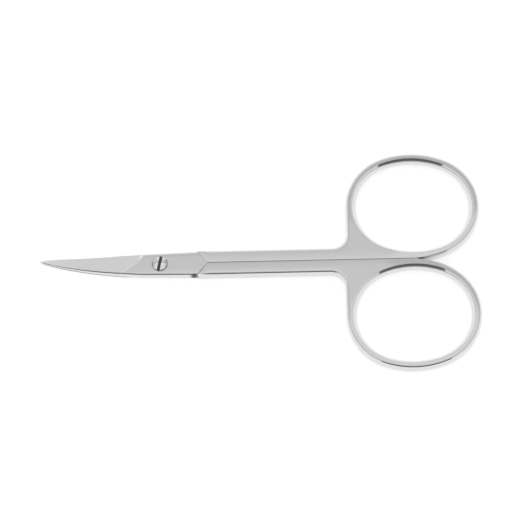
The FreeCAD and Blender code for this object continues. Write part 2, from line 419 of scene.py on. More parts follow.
def nearest(points, loop):
    """Distance to a closed loop, and the number of its nearest point."""
    start, step = loop, np.roll(loop, -1, 0) - loop
    apart = points[:, None] - start[None]
    share = np.clip((apart * step).sum(2) / (step * step).sum(1), 0, 1)
    far = np.linalg.norm(apart - share[:, :, None] * step, axis=2)
    return far.min(1), far.argmin(1)


def loop_edges(first, count):
    """Edges of a closed loop of points numbered from first."""
    return [(first + k, first + (k + 1) % count) for k in range(count)]


def band(first, second, count):
    """Quads between two closed loops of points numbered from first and from second."""
    places = [(k, (k + 1) % count) for k in range(count)]
    return [(first + k, first + n, second + n, second + k) for k, n in places]


def fill_between(outer, inner, loose):
    """Triangles that fill a loop around another one; numbers count outer, inner, loose."""
    points = np.vstack([outer, inner, loose]).astype(np.float32).astype(float)
    edges = loop_edges(0, len(outer)) + loop_edges(len(outer), len(inner))
    made = delaunay_2d_cdt([Vector(p) for p in points], edges, [], 0, 1e-7)
    source = [origin[0] for origin in made[3]]
    faces = np.array([[source[k] for k in face] for face in made[2]])
    first, second, third = points[np.sort(faces, 1)].transpose(1, 0, 2)
    ahead, aside = second - first, third - first
    leftwards = ahead[:, 0] * aside[:, 1] > ahead[:, 1] * aside[:, 0]
    loop_of = (faces >= len(outer)).astype(int) + (faces >= len(outer) + len(inner))
    outside = (loop_of == 0).all(1) & ~leftwards
    in_hole = (loop_of == 1).all(1) & leftwards
    return faces[~outside & ~in_hole]


print("quarter round", quarter(5).round(2))

# %% Plan of a handle as one mesh
edge_rows = 11
bow_rows = 15
fill_step = 0.4


def plan_of(bow):
    """Points, faces and distances of a handle's plan."""
    outline, rounding = rounded_outline(bow)
    opening = opening_of(bow)
    outer_count, bow_count = len(outline), len(opening)
    into_edge, into_bow = inward(outline), -inward(opening)
    edge_loops = [outline + into_edge * (rounding * share)[:, None] for share in quarter(edge_rows)]
    bow_loops = [opening + into_bow * bow_round * share for share in quarter(bow_rows)]
    sides = [np.arange(*ends, fill_step) for ends in zip(outline.min(0), outline.max(0))]
    loose = np.stack(np.meshgrid(*sides), -1).reshape(-1, 2)
    loose = loose[inside(loose, edge_loops[-1]) & ~inside(loose, bow_loops[-1])]
    for loop in (edge_loops[-1], bow_loops[-1]):
        loose = loose[nearest(loose, loop)[0] > fill_step / 3]
    bow_first = edge_rows * outer_count
    loose_first = bow_first + bow_rows * bow_count
    faces = []
    for row in range(edge_rows - 1):
        faces += band(row * outer_count, (row + 1) * outer_count, outer_count)
    for row in range(bow_rows - 1):
        faces += band(bow_first + (row + 1) * bow_count, bow_first + row * bow_count, bow_count)
    numbers = np.concatenate([
        np.arange(bow_first - outer_count, bow_first),
        np.arange(loose_first - bow_count, loose_first),
        np.arange(loose_first, loose_first + len(loose)),
    ])
    faces += [tuple(numbers[face]) for face in fill_between(edge_loops[-1], bow_loops[-1], loose)]
    points = np.vstack([*edge_loops, *bow_loops, loose])
    inner_far, inner_near = nearest(points[bow_first:], outline)
    return points, faces, {
        "from_edge": np.concatenate([*[rounding * share for share in quarter(edge_rows)], inner_far]),
        "edge_round": np.concatenate([np.tile(rounding, edge_rows), rounding[inner_near]]),
        "from_opening": np.concatenate([
            nearest(points[:bow_first], opening)[0],
            np.repeat(bow_round * quarter(bow_rows), bow_count),
            nearest(loose, opening)[0],
        ]),
    }


plan, plan_faces, distances = plan_of(thumb_bow)
print("plan", len(plan), "points,", len(plan_faces), "faces")

# %% [markdown]
# ## Section of a handle
# A geometry node tree holds the rule of the section. It lifts the plan to half the thickness, and
# lets it fall to the middle in a round at every edge: narrow and steep where the two halves meet,
# wider and full outside, and nearly a bevel at the finger opening, as the photo's bows show it.
# A slight crown is added, which grinding by hand leaves. The lower face is the upper one turned over.

# %% Geometry nodes for the section
millimetre = 0.001
weld = 0.0005 * millimetre
handle_crown, handle_crown_reach = 0.05, 1.5
handle_edge_fullness, bow_fullness = 2.5, 1.25


def named(tree, name):
    """The value of a named attribute, as a socket."""
    made = node(tree, "GeometryNodeInputNamedAttribute", {"Name": name}, data_type="FLOAT")
    return made.outputs["Attribute"]


def oval_share(tree, distance, width, fullness):
    """Share of the full height at a distance from an edge: fullness 1 is a bevel, 2 an oval."""
    back = maths(tree, "SUBTRACT", 1.0, maths(tree, "DIVIDE", distance, width, clamp=True))
    left = maths(tree, "SUBTRACT", 1.0, maths(tree, "POWER", back, fullness), clamp=True)
    return maths(tree, "POWER", left, maths(tree, "DIVIDE", 1.0, fullness))


def close_tree(tree, geometry, material):
    """Ends a geometry tree with smooth shading, real instances and a material."""
    smooth = node(tree, "GeometryNodeSetShadeSmooth", {"Geometry": geometry})
    real = node(tree, "GeometryNodeRealizeInstances", {"Geometry": smooth.outputs[0]})
    made = node(tree, "GeometryNodeSetMaterial", {"Geometry": real.outputs[0], "Material": material})
    node(tree, "NodeGroupOutput", {"Geometry": made.outputs[0]})


section = bpy.data.node_groups.new("handle_section", "GeometryNodeTree")
new_input(section, "Geometry", "NodeSocketGeometry")
for name in ("Thickness", "Crown", "Crown Reach", "Bow Round", "Edge Fullness", "Bow Fullness"):
    new_input(section, name, "NodeSocketFloat")
new_input(section, "Material", "NodeSocketMaterial")
new_output(section, "Geometry", "NodeSocketGeometry")
given = node(section, "NodeGroupInput").outputs
edge_far, bow_far = named(section, "from_edge"), named(section, "from_opening")
edge_share = oval_share(section, edge_far, named(section, "edge_round"), given["Edge Fullness"])
bow_share = oval_share(section, bow_far, given["Bow Round"], given["Bow Fullness"])
crown_near = maths(section, "DIVIDE", edge_far, given["Crown Reach"], clamp=True)
crown_left = maths(section, "POWER", maths(section, "SUBTRACT", 1.0, crown_near), 2.0)
crown = maths(section, "MULTIPLY", crown_left, given["Crown"])
full = maths(section, "SUBTRACT", maths(section, "DIVIDE", given["Thickness"], 2.0), crown)
height = maths(section, "MULTIPLY", maths(section, "MULTIPLY", full, edge_share), bow_share)
faces = []
for direction in (1.0, -1.0):
    shift = node(section, "ShaderNodeCombineXYZ", {"Z": maths(section, "MULTIPLY", height, direction)})
    face = node(section, "GeometryNodeSetPosition", {
        "Geometry": given["Geometry"], "Offset": shift.outputs[0],
    })
    faces.append(face.outputs[0])
turned = node(section, "GeometryNodeFlipFaces", {"Mesh": faces[1]})
joined = node(section, "GeometryNodeJoinGeometry")
section.links.new(faces[0], joined.inputs[0])
section.links.new(turned.outputs[0], joined.inputs[0])
closed = node(section, "GeometryNodeMergeByDistance", {
    "Geometry": joined.outputs[0], "Distance": weld,
})
close_tree(section, closed.outputs[0], given["Material"])
print("section tree", len(section.nodes), "nodes")

# %% [markdown]
# ## Steel
# The flat faces of the scissors are ground to a satin, with fine lines that run with the stroke
# of the wheel. The edges and the whole bows are buffed bright. The screw is turned and polished, with
# tarnish near its rim. Both finishes share two effects, ground lines and small scratches, so each
# is a node group that is built once. Masks on the meshes say where steel is buffed, and where shade
# is painted into the colour: the crevice at the joint and the screw's slot are darkened.

# %% Shared effects


def effect(name, inputs, output):
    """Starts a shader node group with a vector, named numbers and one value that it puts out."""
    group = bpy.data.node_groups.new(name, "ShaderNodeTree")
    new_input(group, "Vector", "NodeSocketVector")
    for label, value in inputs:
        new_input(group, label, "NodeSocketFloat", value)
    new_output(group, output, "NodeSocketFloat")
    return group, node(group, "NodeGroupInput").outputs


ground_lines, given = effect("ground_lines", [("Along", 300.0), ("Across", 14000.0)], "Lines")
stretch = node(ground_lines, "ShaderNodeCombineXYZ", {
    "X": given["Along"], "Y": given["Across"], "Z": given["Along"],
})
stretched = node(ground_lines, "ShaderNodeVectorMath", {
    0: given["Vector"], 1: stretch.outputs[0],
}, operation="MULTIPLY")
grain = node(ground_lines, "ShaderNodeTexNoise", {
    "Vector": stretched.outputs[0], "Scale": 1.0, "Detail": 3.0, "Roughness": 0.6,
})
node(ground_lines, "NodeGroupOutput", {"Lines": grain.outputs["Fac"]})

fine_scratches, given = effect("fine_scratches", [("Size", 700.0), ("Share", 0.05)], "Scratches")
wander = node(fine_scratches, "ShaderNodeTexNoise", {
    "Vector": given["Vector"], "Scale": 240.0, "Detail": 2.0,
})
bent = node(fine_scratches, "ShaderNodeVectorMath", {
    0: wander.outputs["Color"], 1: (0.004, 0.004, 0.004), 2: given["Vector"],
}, operation="MULTIPLY_ADD")
cells = node(fine_scratches, "ShaderNodeTexVoronoi", {
    "Vector": bent.outputs[0], "Scale": given["Size"],
}, feature="DISTANCE_TO_EDGE")
thin = maths(fine_scratches, "LESS_THAN", cells.outputs["Distance"], given["Share"])
patches = node(fine_scratches, "ShaderNodeTexNoise", {"Vector": given["Vector"], "Scale": 420.0})
some = maths(fine_scratches, "GREATER_THAN", patches.outputs["Fac"], 0.58)
node(fine_scratches, "NodeGroupOutput", {"Scratches": maths(fine_scratches, "MULTIPLY", thin, some)})
print("effects", ground_lines.name, fine_scratches.name)

# %% Satin steel with buffed edges


def mixed(tree, share, low, high, start=0.0, end=1.0):
    """A value that goes from low to high while a share goes from start to end."""
    made = node(tree, "ShaderNodeMapRange", {
        "Value": share, "From Min": start, "From Max": end, "To Min": low, "To Max": high,
    })
    return made.outputs[0]


def effect_of(tree, group, vector, output, **values):
    """Places a shared effect in a material with its own values."""
    made = node(tree, "ShaderNodeGroup", node_tree=group)
    tree.links.new(vector, made.inputs["Vector"])
    for label, value in values.items():
        made.inputs[label].default_value = value
    return made.outputs[output]


def mask_of(tree, name):
    """A mask that the mesh carries, as a socket."""
    return node(tree, "ShaderNodeAttribute", attribute_name=name).outputs["Fac"]


def blended(tree, share, first, second):
    """A colour that goes from first to second with a share."""
    made = node(tree, "ShaderNodeMix", {"Factor": share}, data_type="RGBA")
    for socket, value in zip((made.inputs[6], made.inputs[7]), (first, second)):
        if isinstance(value, bpy.types.NodeSocket):
            tree.links.new(value, socket)
        else:
            socket.default_value = (*value, 1.0)
    return made.outputs[2]


satin_colour = (0.78, 0.78, 0.775)
satin_dark = (0.69, 0.69, 0.685)
buffed_colour = (0.73, 0.73, 0.725)
# Near-black colour of painted shade in the joint's crevice and the screw's slot; the screw's tarnish uses
# it too.
painted_shade_and_tarnish_colour = (0.09, 0.088, 0.085)
satin_steel, steel_out = plain_material("satin_steel")
tree = satin_steel.node_tree
spot = node(tree, "ShaderNodeTexCoord").outputs["Object"]
buffed, bevel_mask = mask_of(tree, "buffed"), mask_of(tree, "bevelled")
long_lines = effect_of(tree, ground_lines, spot, "Lines", Along=260.0, Across=16000.0)
across_blade = (0, 0, math.radians(82))
turned_spot = node(tree, "ShaderNodeMapping", {"Vector": spot, "Rotation": across_blade}).outputs[0]
cross_lines = effect_of(tree, ground_lines, turned_spot, "Lines", Along=420.0, Across=13000.0)
lines = node(tree, "ShaderNodeMix", {"Factor": bevel_mask, 2: long_lines, 3: cross_lines}).outputs[0]
scratches = effect_of(tree, fine_scratches, spot, "Scratches", Size=620.0, Share=0.035)
cloud = node(tree, "ShaderNodeTexNoise", {"Vector": spot, "Scale": 90.0, "Detail": 3.0}).outputs["Fac"]
tone = maths(tree, "ADD", maths(tree, "MULTIPLY", lines, 0.75), maths(tree, "MULTIPLY", cloud, 0.25))
satin = blended(tree, mixed(tree, tone, 0.0, 1.0), satin_dark, satin_colour)
# Painted shade: a mask from the mesh darkens the colour in the crevice at the joint.
painted_shade = mask_of(tree, "painted_shade")
colour = blended(tree, painted_shade, blended(tree, buffed, satin, buffed_colour), painted_shade_and_tarnish_colour)
satin_rough = mixed(tree, lines, 0.22, 0.36)
wear = maths(tree, "ADD", maths(tree, "MULTIPLY", cloud, 0.5), scratches)
buffed_rough = mixed(tree, wear, 0.06, 0.16)
rough = node(tree, "ShaderNodeMix", {"Factor": buffed, 2: satin_rough, 3: buffed_rough}).outputs[0]
line_height = maths(tree, "MULTIPLY", lines, maths(tree, "SUBTRACT", 1.0, buffed))
relief = maths(tree, "SUBTRACT", line_height, maths(tree, "MULTIPLY", scratches, 0.4))
bump = node(tree, "ShaderNodeBump", {"Height": relief, "Strength": 0.07, "Distance": 0.00003})
steel = node(tree, "ShaderNodeBsdfPrincipled", {
    "Base Color": colour, "Metallic": 1.0, "Roughness": rough, "Normal": bump.outputs[0],
})
tree.links.new(steel.outputs[0], steel_out.inputs["Surface"])
print("satin steel", len(tree.nodes), "nodes")

# %% Polished steel of the screw
polished_steel, polished_out = plain_material("polished_steel")
tree = polished_steel.node_tree
spot = node(tree, "ShaderNodeTexCoord").outputs["Object"]
centred = node(tree, "ShaderNodeVectorMath", {
    0: spot, 1: tuple(pivot_place * millimetre),
}, operation="SUBTRACT").outputs[0]
parts = node(tree, "ShaderNodeSeparateXYZ", {0: centred}).outputs
squares = [maths(tree, "POWER", parts[axis], 2.0) for axis in "XY"]
from_axis = maths(tree, "SQRT", maths(tree, "ADD", *squares))
rings = node(tree, "ShaderNodeCombineXYZ", {"Y": from_axis}).outputs[0]
turning = effect_of(tree, ground_lines, rings, "Lines", Along=0.0, Across=24000.0)
scratches = effect_of(tree, fine_scratches, spot, "Scratches", Size=1500.0, Share=0.03)
wear = maths(tree, "ADD", maths(tree, "MULTIPLY", turning, 0.5), scratches)
rough = mixed(tree, wear, 0.05, 0.20)
# Painted shade: a mask from the mesh darkens the slot of the head; the tarnish near the rim darkens the
# colour too.
painted_shade = mask_of(tree, "painted_shade")
clean = blended(tree, turning, (0.80, 0.80, 0.795), (0.92, 0.92, 0.915))
patches = node(tree, "ShaderNodeTexNoise", {"Vector": spot, "Scale": 1100.0, "Detail": 2.0})
near_rim = mixed(tree, from_axis, 0.0, 1.0, 0.7 * millimetre, 1.5 * millimetre)
patch_share = mixed(tree, patches.outputs["Fac"], 0.0, 0.5, 0.42, 0.58)
tarnish = maths(tree, "MULTIPLY", near_rim, patch_share)
colour = blended(tree, maths(tree, "MAXIMUM", painted_shade, tarnish), clean, painted_shade_and_tarnish_colour)
bump = node(tree, "ShaderNodeBump", {"Height": turning, "Strength": 0.12, "Distance": 0.00002})
steel = node(tree, "ShaderNodeBsdfPrincipled", {
    "Base Color": colour, "Metallic": 1.0, "Roughness": rough, "Normal": bump.outputs[0],
})
tree.links.new(steel.outputs[0], polished_out.inputs["Surface"])
print("polished steel", len(tree.nodes), "nodes")

# %% [markdown]
# ## Blade and lap
# The lap is a flat tongue with a hole for the screw, and it runs on into the blade. The blade bends
# up towards its tip, its outer face is ground to a bevel that starts at a round plunge, and its
# inner face is ground hollow, so that two blades touch only at the edge. All of this is a height
# over a plan, so a grid of points with an upper and a lower height gives it exactly.

# %% Sizes and rules of the blade
lap_thickness = 1.25
mating_offset = 0.025
lap_half_width = 2.77
lap_round = 0.58
lap_crown, crown_reach = 0.09, 1.5
side_depth = 0.85
side_fullness = 1.7
curve_start = -6.0
curve_radius = 52.0
heel_x = -7.0
edge_at_heel = 2.36
edge_fullness = 0.64
spine_bend_x = -4.0
spine_at_bend = 2.56
spine_fullness = 0.7
tip_thickness = 0.4
tip_half_width = 0.12
tip_round = 0.3
edge_land = 0.06
bevel_drop = 0.03
plunge_centre = (-10.9, 6.9)
plunge_radius = 9.1
plunge_slope = 0.75
hollow_start, hollow_end = -5.0, -22.5
hollow_depth = 0.09
hollow_margin = 0.3
shoulder_x = shoulder_apex - shoulder_slant


def side_line(x, bend_x, width, fullness):
    """Distance of a side of the blade and lap from the centre line."""
    straight = width + (lap_half_width - width) * (x - bend_x) / (shoulder_x - bend_x)
    share = np.clip((x + tip_reach) / (bend_x + tip_reach), 0, 1)
    return np.where(x > bend_x, straight, tip_half_width + (width - tip_half_width) * share**fullness)


def edge_line(x):
    return side_line(x, heel_x, edge_at_heel, edge_fullness)


def spine_line(x):
    return side_line(x, spine_bend_x, spine_at_bend, spine_fullness)


def to_tip(x):
    return np.clip((heel_x - x) / (heel_x + tip_reach), 0, 1)


def thickness_at(x):
    return lap_thickness + (tip_thickness - lap_thickness) * to_tip(x)


def round_at(x):
    wide = lap_round + (tip_round - lap_round) * to_tip(x)
    return np.minimum(wide, 0.4 * (edge_line(x) + spine_line(x)))


def rise_at(x):
    """Height that the blade has bent up."""
    return curve_radius - np.sqrt(curve_radius**2 - np.minimum(x - curve_start, 0.0) ** 2)


def soft_least(first, second, width):
    """The lesser of two heights, with the corner between them rounded."""
    share = np.clip(0.5 + 0.5 * (second - first) / width, 0, 1)
    return second * (1 - share) + first * share - width * share * (1 - share)


print("tip rises", rise_at(np.array(-tip_reach)).round(2), "mm")

# %% Heights over the plan of a blade
soft_corner = 0.05


def upper_height(x, y, rise):
    """Height of the outer face without its rounded sides."""
    flat = rise + thickness_at(x)
    first = 0.45 * round_at(x) - spine_line(x)
    start, end = flat - bevel_drop, rise + mating_offset + edge_land
    bevel = start + (end - start) * (y - first) / (edge_line(x) - first)
    away = np.hypot(x - plunge_centre[0], y - plunge_centre[1])
    wheel = lap_thickness + (away - plunge_radius) / plunge_slope
    ground = np.where(x > plunge_centre[0], -soft_least(-bevel, -wheel, soft_corner), bevel)
    return soft_least(flat, ground, soft_corner)


def lower_height(x, y, rise):
    """Height of the inner face with its shallow hollow."""
    share = np.clip((x - hollow_start) / (hollow_end - hollow_start), 0, 1)
    narrow = 1 - share * share
    edge = (edge_line(x) - hollow_margin) * narrow + tip_half_width
    spine = (spine_line(x) - hollow_margin) * narrow + tip_half_width
    middle, half_wide = (edge - spine) / 2, (edge + spine) / 2
    across_share = np.clip(1 - ((y - middle) / half_wide) ** 2, 0, 1)
    depth = hollow_depth * (1 - (2 * share - 1) ** 2)
    return rise + mating_offset + depth * across_share


print("heel thickness", round(float(thickness_at(np.array(heel_x))), 2), "mm")

# %% Grid of a blade and lap
side_rows = 7
middle_rows = 34
shoulder_gap = 0.03
lap_corner = 0.4
shoulder_bite = 0.3
fine_from, fine_to = -11.0, 0.5


def lap_end(y):
    """Where the lap ends: short of the other half's shoulder, and inside its own."""
    slant = shoulder_slant / shank_outer
    stretch = math.hypot(1.0, slant)
    own = shoulder_apex - (y - gap) * slant + shoulder_bite * stretch
    other = shoulder_apex + (y + gap) * slant - shoulder_gap * stretch
    at_corner = np.clip(1 - (y + lap_half_width) / lap_corner, 0, 1)
    return np.minimum(own, other - lap_corner * (1 - np.sqrt(1 - at_corner**2)))


def blade_grid(curl):
    """Upper and lower points of a blade and lap; curl is 1 towards its face and -1 away."""
    stations = np.concatenate([
        np.linspace(-tip_reach, fine_from, 70)[:-1],
        np.linspace(fine_from, fine_to, 120)[:-1],
        np.linspace(fine_to, 5.0, 20),
    ])
    lead = quarter(side_rows)[:-1]
    shares = np.linspace(0, 1, middle_rows)

    def across_at(x):
        corner, spine, edge = round_at(x), -spine_line(x), edge_line(x)
        first = spine[..., None] + corner[..., None] * lead
        last = edge[..., None] - corner[..., None] * lead[::-1]
        inner = edge - spine - 2 * corner
        centre = (spine + corner)[..., None] + inner[..., None] * shares
        return np.concatenate([first, centre, last], -1)

    body_x = np.repeat(stations[:, None], 2 * len(lead) + middle_rows, 1)
    body_y = across_at(stations)
    end_y = across_at(np.array(shoulder_x))
    end_x = lap_end(end_y)
    root_shares = np.linspace(0, 1, 16)[1:]
    root_x = stations[-1] + (end_x - stations[-1])[None] * root_shares[:, None]
    root_y = body_y[-1] + (end_y - body_y[-1])[None] * root_shares[:, None]
    x, y = np.vstack([body_x, root_x]), np.vstack([body_y, root_y])
    rise = curl * rise_at(x)
    corner = round_at(x)
    fall_side = np.minimum(y + spine_line(x), edge_line(x) - y)
    back = np.clip(1 - fall_side / corner, 0, 1)
    share = (1 - back**side_fullness) ** (1 / side_fullness)
    sides = rise + thickness_at(x) * (1 - side_depth * (1 - share))
    crown = lap_crown * np.clip(1 - fall_side / crown_reach, 0, 1) ** 2 * np.clip(1 - x / heel_x, 0, 1)
    upper = np.minimum(sides, upper_height(x, y, rise)) - crown
    lower = lower_height(x, y, rise)
    upper = np.maximum(upper, lower + edge_land / 2)
    return np.stack([x, y, upper], -1), np.stack([x, y, lower], -1)


def grid_mesh(name, upper, lower):
    """A closed mesh between an upper and a lower grid of points."""
    rows, columns = upper.shape[:2]
    number = np.arange(rows * columns).reshape(rows, columns)
    under = number + rows * columns
    a, b, c, d = number[:-1, :-1], number[1:, :-1], number[1:, 1:], number[:-1, 1:]
    faces = np.stack([a, b, c, d], -1).reshape(-1, 4).tolist()
    a, b, c, d = under[:-1, :-1], under[:-1, 1:], under[1:, 1:], under[1:, :-1]
    faces += np.stack([a, b, c, d], -1).reshape(-1, 4).tolist()
    ring = np.concatenate([number[0, :-1], number[:-1, -1], number[-1, :0:-1], number[:0:-1, 0]])
    ahead = np.roll(ring, -1)
    shift = rows * columns
    faces += np.stack([ring, ahead, ahead + shift, ring + shift], -1).tolist()
    mesh = bpy.data.meshes.new(name)
    points = np.vstack([upper.reshape(-1, 3), lower.reshape(-1, 3)])
    mesh.from_pydata(points.tolist(), [], faces)
    return mesh


upper, lower = blade_grid(1)
print("blade grid", upper.shape[:2], "thinnest", (upper - lower)[..., 2].min().round(3), "mm")

# %% [markdown]
# ## The two halves
# A handle and a blade are forged in one, so they are united here with a boolean, and the screw's
# hole is drilled through. The back half is the same drawing turned over about its length, with its
# blade bent the other way. After that, every sharp edge is marked, and each point learns from its
# slope and place whether it is satin or buffed, and how much painted shade darkens it at the joint.

# %% Helpers for whole pieces


def new_object(name, mesh):
    made = bpy.data.objects.new(name, mesh)
    scene.collection.objects.link(made)
    return made


def settled(name, source):
    """A plain mesh object from an object with its modifiers; the source is removed."""
    bpy.context.view_layer.update()
    result = source.evaluated_get(bpy.context.evaluated_depsgraph_get())
    mesh = bpy.data.meshes.new_from_object(result)
    bpy.data.objects.remove(source)
    mesh.name = name
    return new_object(name, mesh)


def geometry_nodes(target, tree, **values):
    """Puts a geometry tree on an object and sets its named inputs by their identifiers."""
    modifier = target.modifiers.new(tree.name, "NODES")
    modifier.node_group = tree
    for item in tree.interface.items_tree:
        label = item.name.lower().replace(" ", "_")
        if item.item_type == "SOCKET" and item.in_out == "INPUT" and label in values:
            modifier[item.identifier] = values[label]
    return modifier


def combine(target, other, operation):
    """Unites with another object or cuts it away; the other object is removed."""
    modifier = target.modifiers.new(operation, "BOOLEAN")
    modifier.operation = operation
    modifier.solver = "MANIFOLD"
    modifier.object = other
    made = settled(target.name, target)
    bpy.data.objects.remove(other)
    return made


def open_edges(mesh):
    """Number of edges that don't have exactly two faces."""
    work = bmesh.new()
    work.from_mesh(mesh)
    count = sum(not edge.is_manifold for edge in work.edges)
    work.free()
    return count


def read_rows(mesh, name):
    """A vector of each point of a mesh, such as its place or slope, as rows of numbers."""
    rows = np.empty(len(mesh.vertices) * 3)
    mesh.vertices.foreach_get(name, rows)
    return rows.reshape(-1, 3)


def place_mesh(mesh, turned_over):
    """Moves a mesh drawn about the pivot into the frame, turned over about its length if asked."""
    points = read_rows(mesh, "co")
    if turned_over:
        points *= (1, -1, -1)
    mesh.vertices.foreach_set("co", (points + pivot_place * millimetre).ravel())
    mesh.update()


print("helpers ready")

# %% A handle, a blade and a drill
round_sides = 96


def handle_object(bow):
    points, faces, distances = plan_of(bow)
    mesh = bpy.data.meshes.new("handle")
    mesh.from_pydata(np.column_stack([points, 0 * points[:, 0]]) * millimetre, [], faces)
    for name, values in distances.items():
        store(mesh, name, values * millimetre)
    made = new_object("handle", mesh)
    geometry_nodes(
        made, section, thickness=handle_thickness * millimetre, crown=handle_crown * millimetre,
        crown_reach=handle_crown_reach * millimetre, bow_round=bow_round * millimetre,
        edge_fullness=handle_edge_fullness, bow_fullness=bow_fullness, material=satin_steel,
    )
    return settled("handle", made)


def blade_object(curl):
    upper, lower = blade_grid(curl)
    mesh = grid_mesh("blade", upper * millimetre, lower * millimetre)
    mesh.materials.append(satin_steel)
    return new_object("blade", mesh)


def drill_object(steps):
    """A round tool turned from steps of (radius, height), closed at both ends."""
    angles = np.arange(round_sides) * 2 * math.pi / round_sides
    around, level = np.column_stack([np.cos(angles), np.sin(angles)]), np.ones((round_sides, 1))
    rings = [np.hstack([radius * around, height * level]) for radius, height in steps]
    last_ring = (len(steps) - 1) * round_sides
    faces = [tuple(range(round_sides))[::-1]]
    for first in range(0, last_ring, round_sides):
        faces += band(first, first + round_sides, round_sides)
    faces.append(tuple(range(last_ring, last_ring + round_sides)))
    mesh = bpy.data.meshes.new("drill")
    mesh.from_pydata((np.vstack(rings) * millimetre).tolist(), [], faces)
    return new_object("drill", mesh)


print("round tools have", round_sides, "sides")

# %% Front and back half
painted_shade_reach = 0.7
sharp_angle = math.radians(32)


def finish_mask(mesh, bow):
    """Stores how bright each point is buffed, where the bevel was ground across, and painted shade at the
    joint.
    """
    points = read_rows(mesh, "co") / millimetre
    steep = 1 - np.abs(read_rows(mesh, "normal")[:, 2])
    on_handle = points[:, 0] > shoulder_x
    limit = np.where(on_handle, 0.02, 0.25)
    buffed = np.clip((steep - limit) / limit, 0, 1)
    round_bow = points[:, 0] > bow[2] - bow[0] - 2 * bow_wall - crotch_radius
    flat = points[round_bow, :2]
    wide = nearest(flat, outline_of(bow)[0][::3])[0] + nearest(flat, opening_of(bow)[::3])[0]
    buffed[round_bow] = np.maximum(buffed[round_bow], np.clip((bow_wall + 1.0 - wide) / 0.7, 0, 1))
    away = np.hypot(points[:, 0] - plunge_centre[0], points[:, 1] - plunge_centre[1])
    bevelled = (away < plunge_radius) | (points[:, 0] < plunge_centre[0])
    bevelled &= points[:, 0] < heel_x / 2
    # Painted shade: steep faces near the corner of the lap's end, the crevice at the joint, are darkened.
    from_corner = np.hypot(points[:, 0] - lap_end(-lap_half_width), points[:, 1] + lap_half_width)
    painted_shade = np.clip(1.4 - from_corner / painted_shade_reach, 0, 1) * (steep > 0.3)
    for name, values in (("buffed", buffed), ("bevelled", bevelled.astype(float)), ("painted_shade", painted_shade)):
        store(mesh, name, values)


def half_object(name, bow, curl, steps):
    """One half of the scissors, in its place in the frame."""
    made = combine(handle_object(bow), blade_object(curl), "UNION")
    made = combine(made, drill_object(steps), "DIFFERENCE")
    mesh = made.data
    mesh.shade_smooth()
    mesh.set_sharp_from_angle(angle=sharp_angle)
    finish_mask(mesh, bow)
    place_mesh(mesh, turned_over=curl < 0)
    made.modifiers.new("even", "WEIGHTED_NORMAL").keep_sharp = True
    made = settled(name, made)
    print(name, len(made.data.polygons), "faces, open edges", open_edges(made.data))
    return made


bore, counterbore, tapped, countersink = 1.03, 1.61, 0.92, 0.06
drill_start = -1.0
seat_height = lap_thickness - 0.3


def mouth(radius):
    """Last steps of a drill, which break the edge of its hole."""
    top = lap_thickness + countersink
    return [(radius, top - 2 * countersink), (radius + 2 * countersink, top)]


front = half_object("front_half_steel", thumb_bow, 1, [
    (bore, drill_start), (bore, seat_height), (counterbore, seat_height), *mouth(counterbore),
])
back = half_object("back_half_steel", finger_bow, -1, [(tapped, drill_start), *mouth(tapped)])

# %% [markdown]
# ## Pivot screw
# The screw is turned on a lathe: a domed head with a softened rim, a plain journal and a thread. A
# geometry node tree turns a drawn profile round the axis and winds the thread into it: where the
# thread is, the radius falls and rises once in each pitch, and the pattern climbs as it goes round.
# The slot is cut across the head afterwards, a little askew, as a tightened screw stops.

# %% Profile of the screw
head_radius = 1.55
journal_radius = 1.0
thread_radius = 0.9
seat = seat_height + 0.02
head_side = 0.45
head_dome = 0.35
rim_round = 0.12
screw_end = -lap_thickness + 0.06
end_chamfer = 0.2
thread_points = 34
crown_z = seat + head_side + head_dome
sphere = (head_radius**2 + head_dome**2) / (2 * head_dome)


def dome_height(radius):
    return crown_z - sphere + np.sqrt(sphere**2 - radius**2)


rim_start = head_radius - rim_round
rim_turn = np.linspace(0, math.pi / 2, 7)
rim_base = dome_height(rim_start) - rim_round
rim = np.column_stack([rim_start + rim_round * np.cos(rim_turn), rim_base + rim_round * np.sin(rim_turn)])
dome_radii = np.linspace(rim_start, 0.0, 14)
thread_rows = np.linspace(screw_end + end_chamfer, -0.02, thread_points)
profile = np.vstack([
    [(0.0, screw_end), (thread_radius - end_chamfer, screw_end)],
    np.column_stack([np.full(thread_points, thread_radius), thread_rows]),
    [(journal_radius, 0.0), (journal_radius, seat), (head_radius, seat)],
    rim,
    np.column_stack([dome_radii[1:], dome_height(dome_radii[1:])]),
])
print("profile", len(profile), "points, head top", round(crown_z, 2), "mm")

# %% Geometry nodes that turn the profile
turner = bpy.data.node_groups.new("turned_screw", "GeometryNodeTree")
new_input(turner, "Geometry", "NodeSocketGeometry")
new_input(turner, "Sides", "NodeSocketInt")
for name in (
    "Thread Radius", "Thread Depth", "Pitch", "Slot Width", "Slot Depth", "Head Top", "Slot Turn",
):
    new_input(turner, name, "NodeSocketFloat")
new_input(turner, "Material", "NodeSocketMaterial")
new_output(turner, "Geometry", "NodeSocketGeometry")
given = node(turner, "NodeGroupInput").outputs
counted = node(turner, "GeometryNodeAttributeDomainSize", {"Geometry": given["Geometry"]})
size = counted.outputs["Point Count"]
around = maths(turner, "ADD", given["Sides"], 1.0)
sheet = node(turner, "GeometryNodeMeshGrid", {"Vertices X": around, "Vertices Y": size})
index = node(turner, "GeometryNodeInputIndex").outputs[0]
column = maths(turner, "FLOOR", maths(turner, "DIVIDE", maths(turner, "ADD", index, 0.5), size))
row = maths(turner, "SUBTRACT", index, maths(turner, "MULTIPLY", column, size))
turn = maths(turner, "DIVIDE", maths(turner, "MODULO", column, given["Sides"]), given["Sides"])
drawn = node(turner, "GeometryNodeSampleIndex", {
    "Geometry": given["Geometry"], "Index": row,
    "Value": node(turner, "GeometryNodeInputPosition").outputs[0],
}, data_type="FLOAT_VECTOR")
